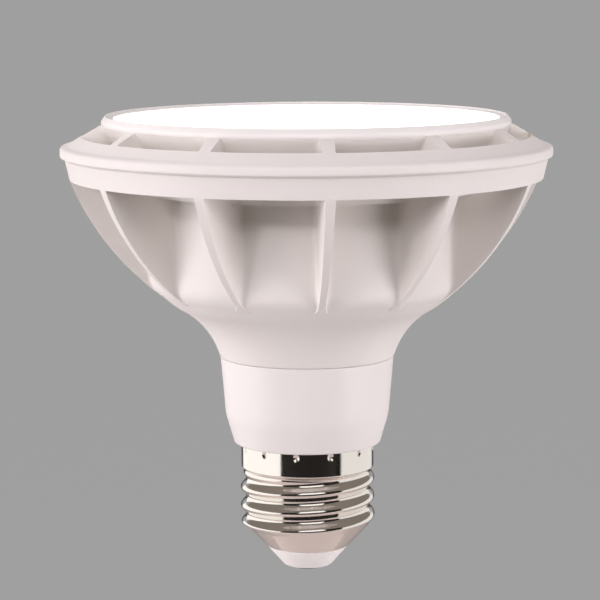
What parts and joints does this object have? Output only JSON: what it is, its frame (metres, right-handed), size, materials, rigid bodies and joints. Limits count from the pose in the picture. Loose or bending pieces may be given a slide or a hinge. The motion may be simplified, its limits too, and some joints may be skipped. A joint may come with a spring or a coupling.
{
  "type": "par spotlight bulb",
  "caption": "Reflector-style LED lamp: ribbed white cast heat sink flaring from a moulded collar to a flat lit lens, on a bright Edison screw cap.",
  "frame": {"origin": "tip of the centre contact, on the lamp's axis", "axes": "+Z along the lamp's axis from the screw cap to the lens; ribs on +X, +Y and every 30 degrees; the driver board inside faces +Y"},
  "size_m": [0.0952, 0.0952, 0.0896],
  "materials": {
    "cast_white": "warm white powder coat, fine pebble",
    "ring_white": "moulded white, fine satin grain",
    "lens_white": "opal diffuser, lit",
    "collar_white": "moulded white, smooth satin",
    "cap_nickel": "bright nickel plate with fine rolling marks",
    "insulator_white": "moulded white",
    "contact_metal": "tin-plated contact, dull",
    "tray_aluminium": "rolled and blanked",
    "solder_mask_white": "white solder mask",
    "chip_yellow": "phosphor fill",
    "screw_steel": "zinc plate",
    "board_green": "green solder mask over glass fibre",
    "package_black": "moulded package",
    "sleeve_dark": "shrink sleeve",
    "ferrite_grey": "sintered ferrite",
    "winding_tape": "polyester tape round copper",
    "fuse_body": "lacquered wire-wound body",
    "cover_white": "moulded white",
    "lead_red": "insulated wire",
    "lead_black": "insulated wire"
  },
  "bodies": {
    "root": {"heat_sink": "cast_white", "front_ring": "ring_white", "diffuser": "lens_white", "driver_housing": "collar_white", "screw_shell": "cap_nickel", "base_insulator": "insulator_white", "centre_contact": "contact_metal", "mounting_plate": "tray_aluminium", "led_board": "solder_mask_white", "led_chips": "chip_yellow", "led_board_screws": "screw_steel", "driver_cover": "cover_white", "housing_screws": "screw_steel", "driver_board": "board_green", "bridge_rectifier": "package_black", "driver_ic": "package_black", "input_capacitor": "sleeve_dark", "output_capacitor": "sleeve_dark", "transformer_core": "ferrite_grey", "transformer_winding": "winding_tape", "filter_inductor": "ferrite_grey", "fuse_resistor": "fuse_body", "positive_lead": "lead_red", "negative_lead": "lead_black", "contact_lead": "lead_red", "shell_lead": "lead_black"}
  },
  "joints": []
}
